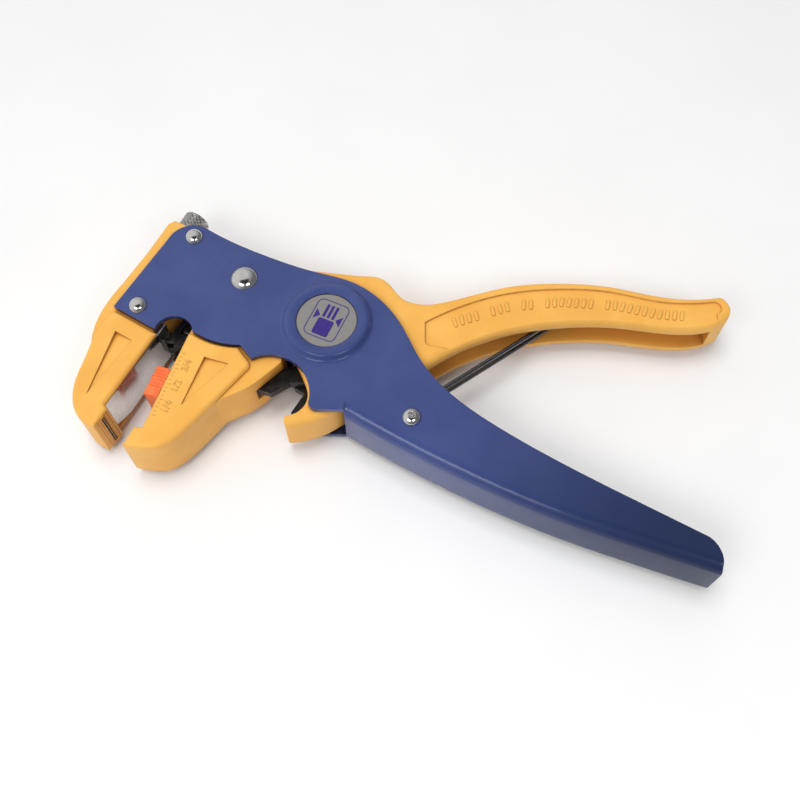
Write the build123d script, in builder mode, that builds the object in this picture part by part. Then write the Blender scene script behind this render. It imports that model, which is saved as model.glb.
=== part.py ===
from build123d import *
import math
import os

# Duck-bill automatic wire stripper, lying on its side.
# Millimetres. +X runs from the jaws to the handle ends, +Z is the thickness of the tool.
# Every profile is drawn on BENCH: the plane halfway through the thickness, with its
# origin on the handle pivot. The jaws are at -X and the handles at +X.

# ---- driving dimensions -------------------------------------------------------------
HALF = 10.35                    # half thickness over the bulges and rivet heads
PIVOT = (-22.45, 13.45)         # handle pivot, seen from the origin under the middle of the tool
SHEET = 1.5                     # folded steel of the frame
PLATE_OUT = 8.75                # outer face of a frame plate, from the middle
PLATE_IN = PLATE_OUT - SHEET
BODY_HALF = 7.05                # castings that run between the plates
CHEEK_HALF = 8.5                # jaw cheeks outside the plates
SLOT_HALF = 2.75                # middle slot that the links run in

JAW_PIVOT = (-23.6, 14.2)
FIXED_RIVETS = [(-38.9, 28.2), (-52.2, 5.3)]
SPRING_PIVOT = (22.9, -28.7)
STRUT_ON_JAW = (-18.8, -15.2)
STRUT_ON_HANDLE = (-2.0, -13.1)
DRAWBAR_ON_HANDLE = (-9.0, 11.5)

FIXED_TOP = (-46.3, -3.2)       # a point on the inner edge of the fixed jaw
FIXED_DIR = 242.5               # direction of that edge, towards the tip
MOVING_TOP = (-37.9, -4.1)      # a point on the inner edge of the moving jaw
MOVING_DIR = 251.6

HANDLE_PIN_R = 5.0
JAW_PIN_R = 2.5
SMALL_RIVET_R = 1.6
LINK_PIN_R = 1.5
STRUT_PIN_HALF = 5.5            # this pin is hidden inside the jaw
SLIDE_PIN_R = 1.2
RUN = 0.05                      # radial clearance of a turning fit
OPEN_RUN = 0.35                 # radial clearance where a closed linkage is opened
BOSS_R = 13.0                   # foot of the raised boss round the handle pivot
CREST_IN = 10.2                 # flat crest of the boss, from this radius
CREST_OUT = 10.7                # to this one
BADGE_R = 8.3
BADGE_Z = 9.3                   # floor of the badge's seat, from the middle
BADGE_T = 0.45

WIRE = 1.3                      # return spring wire
COIL_R = 4.8                    # mean radius of its coils
ROD_Z = 1.7                     # the two long legs stand this far from the middle
ROD_ANGLE = 34.4
ROD_LENGTH = 53.0
TIP_ANGLE = 3.0
TIP_LENGTH = 4.5

KNOB_AXIS = 64.0                # direction of the adjuster, away from the head
KNOB_BASE = (-43.1, 35.6)
KNOB_R = 4.0
KNOB_H = 5.5
SCREW_R = 2.0

BENCH = Plane((PIVOT[0], PIVOT[1], HALF))
os.makedirs("parts", exist_ok=True)


# ---- helpers ------------------------------------------------------------------------
def polar(start, angle, distance, side=0.0):
    """A point along a direction from start, then to its left."""
    a = math.radians(angle)
    x = start[0] + distance * math.cos(a) - side * math.sin(a)
    y = start[1] + distance * math.sin(a) + side * math.cos(a)
    return (x, y)


def on_fixed(along, out):
    """A point on the fixed jaw: along its inner edge away from the tip, and out into the mouth."""
    return polar(FIXED_TOP, FIXED_DIR, -along, out)


def on_moving(along, out):
    """A point on the moving jaw: along its inner edge away from the tip, and out into the mouth."""
    return polar(MOVING_TOP, MOVING_DIR, -along, -out)


def shape(*points):
    """A straight-sided face."""
    with BuildLine() as edge:
        Polyline(*points, close=True)
    make_face(edge.edges())


def disc(place, radius):
    with Locations(place):
        Circle(radius)


def pin(place, radius, half, mode=Mode.ADD):
    """A round pin or hole through the middle plane."""
    with BuildSketch(BENCH) as section:
        disc(place, radius)
    extrude(section.sketch, amount=half, both=True, mode=mode)


def both_faces(part):
    """The edges that lie in the top and bottom planes of a part."""
    groups = part.edges().group_by(Axis.Z)
    return groups[0] + groups[-1]


def save(builder, name):
    builder.part.label = name
    export_step(builder.part, f"parts/{name}.step")


def domed_rivet(place, head_r, shank_r, dimple=0.0):
    """A rivet through both plates with a domed head on each side, flat on its very top."""
    rise = HALF - PLATE_OUT
    flat = head_r * 0.14
    middle = BENCH.from_local_coords((place[0], place[1], 0))
    with BuildSketch(Plane(middle, x_dir=(1, 0, 0), z_dir=(0, -1, 0))) as profile:
        with BuildLine():
            Line((0, -HALF), (flat, -HALF))
            ThreePointArc((flat, -HALF), (head_r * 0.8, -HALF + rise * 0.42), (head_r, -PLATE_OUT))
            Line((head_r, -PLATE_OUT), (shank_r, -PLATE_OUT))
            Line((shank_r, -PLATE_OUT), (shank_r, PLATE_OUT))
            Line((shank_r, PLATE_OUT), (head_r, PLATE_OUT))
            ThreePointArc((head_r, PLATE_OUT), (head_r * 0.8, HALF - rise * 0.42), (flat, HALF))
            Line((flat, HALF), (0, HALF))
            Line((0, HALF), (0, -HALF))
        make_face()
    revolve(profile.sketch, axis=Axis(middle, (0, 0, 1)))
    if dimple:
        for z in (HALF, -HALF):
            with BuildSketch(BENCH.offset(z)) as hollow:
                disc(place, dimple)
            extrude(hollow.sketch, amount=-math.copysign(1.1, z), taper=20, mode=Mode.SUBTRACT)


# ---- outlines -----------------------------------------------------------------------
JAW_ARC = 21.3                  # the plate's edge is round about the jaw pivot here
SPINE_START = 5.3               # the fold begins here, the plates are open below before it
FOLD_LINE = [(SPINE_START, -27.5), (20.0, -36.4), (40.0, -47.1), (60.0, -56.2), (80.0, -63.6), (98.0, -69.8),
             (110.0, -73.6)]
FOLD_RISE = 1.7                 # the sheet's thickness, measured along Y across the sloping fold
FOLD_OUT_R = 3.2
FOLD_IN_R = 1.4
TIP_FACE = (-49.0, -31.0)       # start of the moving jaw's gripping face
TIP_DIR = 245.2


def jaw_arc_point(radius, angle):
    return polar(JAW_PIVOT, angle, radius)


def plate_outline():
    """Side profile of the frame: head, neck and lower handle, left open below the fold."""
    arc_left = jaw_arc_point(JAW_ARC, 233.0)
    arc_mid = jaw_arc_point(JAW_ARC, 252.0)
    arc_right = jaw_arc_point(JAW_ARC, 271.0)
    with BuildLine() as edge:
        Line((-58.8, 5.0), (-46.8, -2.2))
        ThreePointArc((-46.8, -2.2), (-42.2, 1.9), arc_left)
        ThreePointArc(arc_left, arc_mid, arc_right)
        Line(arc_right, (-19.9, -11.3))
        Spline((-19.9, -11.3), (-13.2, -10.3), (-7.6, -13.1), (-4.2, -19.0), (-4.1, -24.4))
        ThreePointArc((-4.1, -24.4), (-3.4, -25.8), (-2.2, -26.4))
        Polyline((-2.2, -26.4), (SPINE_START, -26.5), (SPINE_START, -60.0), (98.0, -85.0), (98.0, -68.4))
        ThreePointArc((98.0, -68.4), (97.9, -64.3), (95.6, -61.0))
        Spline((95.6, -61.0), (88.0, -56.8), (67.2, -45.2), (44.8, -31.2), (32.1, -20.7), (25.0, -11.0),
               (20.6, -1.5), (14.9, 6.7), (6.5, 12.9), (-4.0, 16.3), (-16.0, 20.8), (-28.0, 26.5),
               (-36.0, 31.4))
        ThreePointArc((-36.0, 31.4), (-41.4, 32.0), (-46.0, 28.0))
        Line((-46.0, 28.0), (-58.8, 5.0))
    make_face(edge.edges())


def above_fold(rise):
    """Everything on the open side of a line that runs along the fold, this far inside its outer face."""
    line = [(x, y + rise) for x, y in FOLD_LINE]
    with BuildLine() as edge:
        Spline(*line)
        Polyline(line[-1], (110.0, 60.0), (-70.0, 60.0), (-70.0, -60.0), (line[0][0], -60.0), line[0])
    make_face(edge.edges())


def fixed_jaw_nose():
    """The shared outer end of the two fixed jaw outlines."""
    Spline((-63.9, -6.2), (-65.3, -12.4), (-66.5, -18.7), (-65.4, -25.8), (-59.4, -31.1))


def fixed_jaw_core():
    with BuildLine() as edge:
        Polyline((-45.4, 35.1), (-47.2, 33.9), (-52.2, 23.7), (-57.9, 13.4))
        Spline((-57.9, 13.4), (-61.4, 7.1), (-63.3, 1.8), (-63.9, -6.2))
        fixed_jaw_nose()
        Polyline((-59.4, -31.1), on_fixed(-25.0, 1.45), on_fixed(-24.1, 0.0), on_fixed(22.0, 0.0),
                 (-33.9, 25.6), (-36.6, 30.0), (-40.6, 32.6), (-45.4, 35.1))
    make_face(edge.edges())


def fixed_jaw_cheek():
    with BuildLine() as edge:
        Line((-46.9, -2.9), (-58.7, 4.1))
        ThreePointArc((-58.7, 4.1), (-61.6, 0.2), (-63.9, -6.2))
        fixed_jaw_nose()
        Polyline((-59.4, -31.1), on_fixed(-25.0, 1.45), on_fixed(-24.1, 0.0), on_fixed(0.0, 0.0),
                 (-46.9, -2.9))
    make_face(edge.edges())


def moving_jaw_tip():
    """The shared end of the two moving jaw outlines, from the inner edge round to the underside."""
    Polyline(on_moving(1.0, 0.0), on_moving(-28.4, 0.0), TIP_FACE, (-51.4, -36.2))
    Spline((-51.4, -36.2), (-47.2, -37.2), (-42.0, -36.9), (-37.0, -33.5), (-31.6, -27.2))


def moving_jaw_core():
    with BuildLine() as edge:
        moving_jaw_tip()
        Spline((-31.6, -27.2), (-27.5, -22.9), (-21.4, -19.8), (-16.2, -15.6), (-12.0, -11.5))
        Polyline((-12.0, -11.5), (-12.0, -6.0), (-14.6, 3.0), (-15.1, 14.2))
        ThreePointArc((-15.1, 14.2), (-23.6, 22.7), (-32.1, 14.2))
        Polyline((-32.1, 14.2), (-34.6, 6.0), on_moving(1.0, 0.0))
    make_face(edge.edges())


def moving_jaw_cheek():
    arc = JAW_ARC + 0.35
    with BuildLine() as edge:
        moving_jaw_tip()
        Line((-31.6, -27.2), (-20.3, -13.6))
        Line((-20.3, -13.6), (-20.4, -12.1))
        Line((-20.4, -12.1), jaw_arc_point(arc, 269.6))
        ThreePointArc(jaw_arc_point(arc, 269.6), jaw_arc_point(arc, 250.0), jaw_arc_point(arc, 234.5))
        Line(jaw_arc_point(arc, 234.5), on_moving(1.0, 0.0))
    make_face(edge.edges())


def handle_top():
    Spline((-12.2, 15.0), (-9.8, 18.0), (-4.5, 18.0), (2.2, 17.2), (9.8, 16.3), (13.9, 15.8), (16.4, 14.2),
           (20.3, 9.2), (26.5, 6.9),
           (33.0, 7.8), (50.0, 12.6), (65.0, 13.8), (80.0, 12.4), (92.0, 9.5), (101.0, 8.5),
           (108.6, 9.1))


def squeeze_handle_outline():
    with BuildLine() as edge:
        handle_top()
        ThreePointArc((108.6, 9.1), (111.1, 6.4), (109.6, 1.4))
        Spline((109.6, 1.4), (105.5, -0.3), (93.0, -0.9), (80.0, 0.9), (69.5, 1.2), (59.0, 0.3), (52.0, -1.0),
               (44.5, -3.3), (37.0, -6.5), (28.0, -12.0), (20.0, -17.5), (8.0, -22.4), (0.0, -27.4),
               (-6.0, -29.5), (-9.6, -30.0))
        ThreePointArc((-9.6, -30.0), (-10.5, -28.6), (-9.6, -27.1))
        Spline((-9.6, -27.1), (-6.4, -25.6), (-4.7, -22.8), (-5.0, -18.5), (-7.6, -12.2), (-11.0, -4.0),
               (-12.9, 5.0), (-13.0, 11.0), (-12.2, 15.0))
    make_face(edge.edges())


def grip_panel():
    """The face between the raised rim of the grip and its underside."""
    with BuildLine() as edge:
        Line((26.8, -5.0), (26.8, 1.0))
        Spline((26.8, 1.0), (35.0, 5.3), (50.0, 10.3), (65.0, 11.8), (80.0, 10.6), (92.0, 7.7), (101.0, 7.1),
               (107.2, 7.6))
        ThreePointArc((107.2, 7.6), (109.0, 6.4), (107.6, 3.6))
        Polyline((107.6, 3.6), (107.6, -20.0), (40.0, -20.0), (36.0, -8.0), (28.3, -6.5))
        ThreePointArc((28.3, -6.5), (27.2, -6.1), (26.8, -5.0))
    make_face(edge.edges())


# ---- folded steel frame -------------------------------------------------------------
def boss(side):
    """The dished round boss of one plate: it swells to a crest and falls to the badge's seat."""
    lip = BADGE_Z + BADGE_T + 0.1
    seat_r = BADGE_R + 0.1
    root = PLATE_OUT - SHEET / 2
    middle = BENCH.from_local_coords((0, 0, 0))
    with BuildSketch(Plane(middle, x_dir=(1, 0, 0), z_dir=(0, -1, 0))) as profile:
        with BuildLine():
            Spline((BOSS_R, side * PLATE_OUT), (CREST_OUT, side * HALF), tangents=[(-1, 0), (-1, 0)])
            Line((CREST_OUT, side * HALF), (CREST_IN, side * HALF))
            Spline((CREST_IN, side * HALF), (seat_r, side * lip), tangents=[(-1, 0), (-1, -side * 0.2)])
            Polyline((seat_r, side * lip), (seat_r, side * BADGE_Z), (0, side * BADGE_Z), (0, side * root),
                     (BOSS_R, side * root), (BOSS_R, side * PLATE_OUT))
        make_face()
    revolve(profile.sketch, axis=Axis(middle, (0, 0, 1)))


def edges_at(part, z):
    """The curved edges of a part at this distance on either side of the middle."""
    curved = part.edges().filter_by(GeomType.BSPLINE)
    return curved.filter_by(lambda edge: abs(abs(edge.center().Z - HALF) - z) < 0.01)


with BuildPart() as frame_shell:
    with BuildSketch(BENCH):
        above_fold(0.0)
    extrude(amount=PLATE_OUT, both=True)
    fillet(edges_at(frame_shell, PLATE_OUT), FOLD_OUT_R)
    with BuildSketch(BENCH):
        plate_outline()
    extrude(amount=PLATE_OUT, both=True, mode=Mode.INTERSECT)
    with BuildPart(mode=Mode.SUBTRACT) as inside:
        with BuildSketch(BENCH):
            above_fold(FOLD_RISE)
        extrude(amount=PLATE_IN, both=True)
        fillet(edges_at(inside, PLATE_IN), FOLD_IN_R)
    for side in (1, -1):
        boss(side)
        with BuildSketch(BENCH.offset(side * PLATE_IN)):
            Circle(CREST_OUT + 0.4)
        extrude(amount=side * 1.2, taper=35, mode=Mode.SUBTRACT)
    pin((0, 0), HANDLE_PIN_R, HALF, Mode.SUBTRACT)
    pin(JAW_PIVOT, JAW_PIN_R, HALF, Mode.SUBTRACT)
    pin(SPRING_PIVOT, 2.25, HALF, Mode.SUBTRACT)
    for place in FIXED_RIVETS:
        pin(place, SMALL_RIVET_R, HALF, Mode.SUBTRACT)
save(frame_shell, "frame_shell")

with BuildPart() as handle_pivot_pin:
    pin((0, 0), HANDLE_PIN_R, BADGE_Z - 0.05)
save(handle_pivot_pin, "handle_pivot_pin")

for badge_name, side in (("badge_front", 1), ("badge_back", -1)):
    with BuildPart() as badge:
        with BuildSketch(BENCH.offset(side * BADGE_Z)):
            Circle(BADGE_R)
        extrude(amount=side * BADGE_T)
        chamfer(badge.edges().sort_by(Axis.Z)[-1 if side > 0 else 0], 0.2)
    save(badge, badge_name)

with BuildPart() as jaw_pivot_rivet:
    domed_rivet(JAW_PIVOT, 3.85, JAW_PIN_R)
save(jaw_pivot_rivet, "jaw_pivot_rivet")

with BuildPart() as fixed_jaw_rivets:
    for place in FIXED_RIVETS:
        domed_rivet(place, 2.6, SMALL_RIVET_R)
save(fixed_jaw_rivets, "fixed_jaw_rivets")

with BuildPart() as spring_rivet:
    domed_rivet(SPRING_PIVOT, 2.6, 2.25, dimple=0.9)
save(spring_rivet, "spring_rivet")

with BuildPart() as spring_bush:
    pin(SPRING_PIVOT, COIL_R - WIRE / 2 - 0.35, PLATE_IN - 0.05)
    pin(SPRING_PIVOT, 2.25, PLATE_IN, Mode.SUBTRACT)
save(spring_bush, "spring_bush")

# ---- return spring ------------------------------------------------------------------
ROD_START = polar(SPRING_PIVOT, ROD_ANGLE + 90, COIL_R)
ROD_BEND = polar(ROD_START, ROD_ANGLE, ROD_LENGTH)
ROD_TIP = polar(ROD_BEND, TIP_ANGLE, TIP_LENGTH)
COIL_OUT = 5.2                  # each moving coil runs from its long leg out to here
ANCHOR_Z = 6.05                 # the last turn and the short leg that rests on the frame
ANCHOR_ANGLE = -31.7


def bench_point(place, z):
    return BENCH.from_local_coords((place[0], place[1], z))


with BuildPart() as return_spring:
    loop = [bench_point(ROD_START, ROD_Z), bench_point(ROD_BEND, ROD_Z), bench_point(ROD_TIP, ROD_Z),
            bench_point(ROD_TIP, -ROD_Z), bench_point(ROD_BEND, -ROD_Z), bench_point(ROD_START, -ROD_Z)]
    with BuildLine():
        legs = FilletPolyline(*loop, radius=1.6)
    with BuildSketch(Plane(origin=legs @ 0, z_dir=legs % 0)):
        Circle(WIRE / 2)
    sweep()
    for side in (1, -1):
        with BuildSketch(BENCH.offset(side * (ROD_Z - WIRE / 2 - 0.1))):
            disc(SPRING_PIVOT, COIL_R + WIRE / 2)
            with Locations(SPRING_PIVOT):
                Circle(COIL_R - WIRE / 2, mode=Mode.SUBTRACT)
        extrude(amount=side * (COIL_OUT - ROD_Z + WIRE / 2 + 0.1))
save(return_spring, "return_spring")

with BuildPart() as spring_anchor:
    for side in (1, -1):
        start = polar(SPRING_PIVOT, ANCHOR_ANGLE - 90, COIL_R)
        with BuildSketch(BENCH.offset(side * (ANCHOR_Z - WIRE / 2))):
            disc(SPRING_PIVOT, COIL_R + WIRE / 2)
            with Locations(SPRING_PIVOT):
                Circle(COIL_R - WIRE / 2, mode=Mode.SUBTRACT)
        extrude(amount=side * WIRE)
        with BuildSketch(Plane(bench_point(start, side * ANCHOR_Z),
                               z_dir=polar((0, 0), ANCHOR_ANGLE, 1) + (0,))):
            Circle(WIRE / 2 - 0.05)
        extrude(amount=20)
save(spring_anchor, "spring_anchor")

# ---- fixed jaw ----------------------------------------------------------------------
JAW_ROUND = 1.2                 # rounding of the outer edges of both jaws
RECESS = 1.0                    # depth of the recess in each cheek, at its deepest corner
RECESS_EDGE = 0.3               # depth at its two other corners
PLATE_GROOVE = 1.65             # room behind the sliding plate
SLIDE_HALF = 6.85               # half width of the sliding plate
BLADE_HALF = 6.9
GRIP_CUT = 0.35                 # depth and width of the gripping grooves
BLADE_SLOT = 1.2
BLADE_T = 0.6                   # thickness of a stripping blade
FIXED_BLADE = -27.3             # where it stands along the fixed jaw
BLADE_DEEP = 2.4                # how far a stripping blade stands back in its jaw


def cross_cut(point, angle, width, depth, half=CHEEK_HALF):
    """A groove across the tip."""
    with BuildSketch(BENCH) as cut:
        with Locations(Location((point[0], point[1], 0), (0, 0, angle))):
            Rectangle(width, depth)
    extrude(cut.sketch, amount=half, both=True, mode=Mode.SUBTRACT)


def cheek_recess(deep, fade_start, fade_end):
    """A three-cornered recess in both cheeks, deepest at one corner, shallow along the line opposite."""
    for side in (1, -1):
        shallow = side * (CHEEK_HALF - RECESS_EDGE)
        corners = [bench_point(deep, side * (CHEEK_HALF - RECESS)), bench_point(fade_start, shallow),
                   bench_point(fade_end, shallow)]
        with BuildLine() as edge:
            Polyline(*corners, close=True)
        extrude(Face(edge.wire()), amount=3, dir=(0, 0, side), mode=Mode.SUBTRACT)


with BuildPart() as fixed_jaw:
    with BuildSketch(BENCH):
        fixed_jaw_core()
    extrude(amount=BODY_HALF, both=True)
    with BuildSketch(BENCH):
        fixed_jaw_cheek()
    extrude(amount=CHEEK_HALF, both=True)
    fillet(both_faces(fixed_jaw), JAW_ROUND)
    cheek_recess((-57.4, -2.7), (-52.6, -5.6), (-62.5, -21.8))
    # channel behind the sliding plate, open into the mouth
    with BuildSketch(BENCH):
        shape(on_fixed(-24.1, -PLATE_GROOVE), on_fixed(30.0, -PLATE_GROOVE), on_fixed(30.0, 12.0),
              on_fixed(-24.1, 12.0))
    extrude(amount=SLIDE_HALF + 0.3, both=True, mode=Mode.SUBTRACT)
    # gripping ridges and the slot that the stripping blade stands in
    for step in (-25.6, -26.3, -28.4, -29.15):
        cross_cut(on_fixed(step, 1.4), FIXED_DIR + 45, GRIP_CUT, GRIP_CUT)
    cross_cut(on_fixed(FIXED_BLADE, 0.0), FIXED_DIR, BLADE_SLOT, 2 * BLADE_DEEP + 0.2, BLADE_HALF + 0.1)
    # adjuster bore and the pocket of its nut
    knob_dir = (math.cos(math.radians(KNOB_AXIS)), math.sin(math.radians(KNOB_AXIS)), 0)
    with BuildSketch(Plane(bench_point(KNOB_BASE, 0), z_dir=knob_dir)):
        Circle(SCREW_R + RUN)
    extrude(amount=-22, mode=Mode.SUBTRACT)
    nut_at = polar(KNOB_BASE, KNOB_AXIS, -13.5)
    with BuildSketch(BENCH):
        with Locations(Location((nut_at[0], nut_at[1], 0), (0, 0, KNOB_AXIS))):
            Rectangle(10.0, 5.9)
    extrude(amount=2.95, both=True, mode=Mode.SUBTRACT)
    for place in FIXED_RIVETS:
        pin(place, SMALL_RIVET_R, HALF, Mode.SUBTRACT)
save(fixed_jaw, "fixed_jaw")

with BuildPart() as fixed_blade:
    near = FIXED_BLADE + BLADE_T / 2
    far = FIXED_BLADE - BLADE_T / 2
    with BuildSketch(BENCH):
        shape(on_fixed(near, -BLADE_DEEP), on_fixed(near, 0.5), on_fixed(FIXED_BLADE, 1.3),
              on_fixed(far, 0.5), on_fixed(far, -BLADE_DEEP))
    extrude(amount=BLADE_HALF, both=True)
save(fixed_blade, "fixed_blade")

with BuildPart() as adjuster_screw:
    with BuildSketch(Plane(bench_point(KNOB_BASE, 0), z_dir=knob_dir)):
        Circle(KNOB_R)
    extrude(amount=KNOB_H)
    chamfer(adjuster_screw.edges().filter_by(GeomType.CIRCLE), 0.35)
    with BuildSketch(Plane(bench_point(KNOB_BASE, 0), z_dir=knob_dir)):
        Circle(SCREW_R)
    extrude(amount=-21)
save(adjuster_screw, "adjuster_screw")

with BuildPart() as adjuster_nut:
    with BuildSketch(BENCH):
        with Locations(Location((nut_at[0], nut_at[1], 0), (0, 0, KNOB_AXIS))):
            Rectangle(6.0, 5.6)
    extrude(amount=2.65, both=True)
    with BuildSketch(Plane(bench_point(KNOB_BASE, 0), z_dir=knob_dir)):
        Circle(SCREW_R + RUN)
    extrude(amount=-30, mode=Mode.SUBTRACT)
save(adjuster_nut, "adjuster_nut")

# ---- sliding plate of the fixed jaw, its fork and the drawbar -----------------------
PULL_ALONG = 7.0                # the drawbar's pin, in the fixed jaw's coordinates
PULL_OUT = 4.2
PULL_PIN = on_fixed(PULL_ALONG, PULL_OUT)

with BuildPart() as fixed_jaw_slide:
    with BuildSketch(BENCH):
        shape(on_fixed(4.0, -0.75), on_fixed(4.0, 0.05), on_fixed(-18.6, 0.05), on_fixed(-23.8, -0.65),
              on_fixed(-23.8, -1.45), on_fixed(-18.6, -0.75))
    extrude(amount=SLIDE_HALF, both=True)
save(fixed_jaw_slide, "fixed_jaw_slide")

with BuildPart() as slide_fork:
    with BuildSketch(BENCH):
        shape(on_fixed(0.8, 0.05), on_fixed(3.8, 0.05), on_fixed(3.8, 1.0), on_fixed(0.8, 1.0))
    extrude(amount=3.4, both=True)
    for side in (1, -1):
        with BuildSketch(BENCH.offset(side * 1.45)):
            shape(on_fixed(1.0, 0.6), on_fixed(9.6, 1.4), on_fixed(9.8, 6.2), on_fixed(7.0, 6.9),
                  on_fixed(3.4, 6.2), on_fixed(-1.2, 4.9), on_fixed(-1.4, 4.0), on_fixed(2.2, 3.3))
        extrude(amount=side * 1.1)
    with BuildSketch(BENCH):
        with Locations(Location((PULL_PIN[0], PULL_PIN[1], 0), (0, 0, FIXED_DIR))):
            SlotCenterToCenter(1.2, 2 * (SLIDE_PIN_R + OPEN_RUN))
    extrude(amount=4, both=True, mode=Mode.SUBTRACT)
save(slide_fork, "slide_fork")

with BuildPart() as drawbar:
    with BuildLine(mode=Mode.PRIVATE):
        bow = ThreePointArc(DRAWBAR_ON_HANDLE, (-24.5, 2.0), PULL_PIN)
    with BuildSketch(BENCH):
        SlotArc(bow, 3.6)
        disc(DRAWBAR_ON_HANDLE, 3.0)
    extrude(amount=1.2, both=True)
    pin(DRAWBAR_ON_HANDLE, LINK_PIN_R + RUN, 2, Mode.SUBTRACT)
    pin(PULL_PIN, SLIDE_PIN_R, 2, Mode.SUBTRACT)
save(drawbar, "drawbar")

with BuildPart() as slide_pin:
    pin(PULL_PIN, SLIDE_PIN_R, 2.55)
save(slide_pin, "slide_pin")

with BuildPart() as drawbar_pin:
    pin(DRAWBAR_ON_HANDLE, LINK_PIN_R, BODY_HALF)
save(drawbar_pin, "drawbar_pin")

# ---- squeeze handle and wire cutter -------------------------------------------------
CHANNEL_HALF = 3.6              # half width of the channel under the grip
GRIP_ROUND = 2.5                # rounding of the grip's lower edges
PANEL_DEEP = 0.6
CUTTER_RIVETS = [(0.6, -18.6), (3.6, -14.4)]
CUTTER_RIVET_R = 0.9
with BuildPart() as squeeze_handle:
    with BuildSketch(BENCH):
        squeeze_handle_outline()
    extrude(amount=BODY_HALF, both=True)
    rim = both_faces(squeeze_handle).sort_by(SortBy.LENGTH)[-4:]
    fillet(rim.sort_by(Axis.Y)[:2], GRIP_ROUND)
    fillet(both_faces(squeeze_handle).sort_by(SortBy.LENGTH)[-4:].sort_by(Axis.Y)[2:], 0.8)
    for side in (1, -1):
        with BuildSketch(BENCH.offset(side * BODY_HALF)):
            grip_panel()
        extrude(amount=-side * PANEL_DEEP, mode=Mode.SUBTRACT)
    # channel under the grip for the spring loop
    with BuildSketch(BENCH):
        with BuildLine():
            Line((106.0, -12.0), (106.0, 3.9))
            Spline((106.0, 3.9), (93.0, 4.0), (80.0, 5.9), (69.5, 6.6), (59.0, 5.9), (52.0, 4.5), (44.5, 2.1),
                   (37.0, -1.2), (28.0, -6.8))
            Polyline((28.0, -6.8), (19.5, -12.5), (15.0, -30.0), (106.0, -12.0))
        make_face()
    extrude(amount=CHANNEL_HALF, both=True, mode=Mode.SUBTRACT)
    # middle slot in front for the links and the cutter
    with BuildSketch(BENCH):
        shape((-20.0, -24.6), (-20.0, 20.0), (-6.0, 20.0), (-4.5, 13.2), (12.5, 12.6), (13.5, 0.0),
              (8.0, -13.0), (2.6, -21.5), (-1.5, -24.6))
    extrude(amount=SLOT_HALF, both=True, mode=Mode.SUBTRACT)
    pin((0, 0), HANDLE_PIN_R + RUN, HALF, Mode.SUBTRACT)
    pin(DRAWBAR_ON_HANDLE, LINK_PIN_R, HALF, Mode.SUBTRACT)
    pin(STRUT_ON_HANDLE, LINK_PIN_R, HALF, Mode.SUBTRACT)
    for place in CUTTER_RIVETS:
        pin(place, CUTTER_RIVET_R, 5.0, Mode.SUBTRACT)
save(squeeze_handle, "squeeze_handle")

with BuildPart() as crank_pin:
    pin(STRUT_ON_HANDLE, LINK_PIN_R, BODY_HALF)
save(crank_pin, "crank_pin")

with BuildPart() as cutter_blade:
    with BuildSketch(BENCH.offset(-2.6)):
        shape((-9.6, -23.2), (-6.1, -17.5), (-8.9, -15.7), (-9.6, -14.0), (-7.6, -11.6), (-4.6, -11.0),
              (-1.0, -10.6), (5.4, -11.4), (6.6, -13.4), (1.8, -20.9), (-1.8, -23.6), (-6.0, -23.9))
        with Locations(STRUT_ON_HANDLE):
            Circle(LINK_PIN_R + 0.02, mode=Mode.SUBTRACT)
        with Locations(*CUTTER_RIVETS):
            Circle(CUTTER_RIVET_R, mode=Mode.SUBTRACT)
    extrude(amount=2.4)
    lip = cutter_blade.edges().filter_by(lambda e: abs(e.center().X - PIVOT[0] + 7.85) < 0.4
                                         and abs(e.center().Y - PIVOT[1] + 20.35) < 0.4)
    chamfer(lip.sort_by(Axis.Z)[0], 1.2)
save(cutter_blade, "cutter_blade")

with BuildPart() as cutter_rivets:
    for place in CUTTER_RIVETS:
        pin(place, CUTTER_RIVET_R, 5.0)
save(cutter_rivets, "cutter_rivets")

with BuildPart() as closing_strut:
    with BuildSketch(BENCH.offset(0.15)):
        with BuildLine():
            Polyline((-18.4, -17.5), (-14.9, -18.8), (-9.8, -15.5), (-2.6, -15.7))
            ThreePointArc((-2.6, -15.7), (0.6, -13.1), (-2.0, -10.5))
            Polyline((-2.0, -10.5), (-9.6, -10.4), (-14.4, -12.2), (-18.6, -12.9))
            ThreePointArc((-18.6, -12.9), (-21.1, -15.3), (-18.4, -17.5))
        make_face()
        with Locations(STRUT_ON_JAW):
            Circle(LINK_PIN_R + RUN, mode=Mode.SUBTRACT)
        with Locations(STRUT_ON_HANDLE):
            Circle(LINK_PIN_R + OPEN_RUN, mode=Mode.SUBTRACT)
    extrude(amount=2.3)
save(closing_strut, "closing_strut")

# ---- moving jaw ---------------------------------------------------------------------
STRUT_END_R = 2.35              # round end of the strut, in its pocket
STOP_LONG = 9.0
STOP_OUT = 4.2
STOP_ALONG = -10.3              # upper end of the length stop, along the jaw's inner edge
RAIL_IN = 3.5                   # each foot of the stop stands between these distances from the middle
RAIL_OUT = 5.1
MOVING_BLADE = polar(TIP_FACE, TIP_DIR, 2.8)

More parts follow.
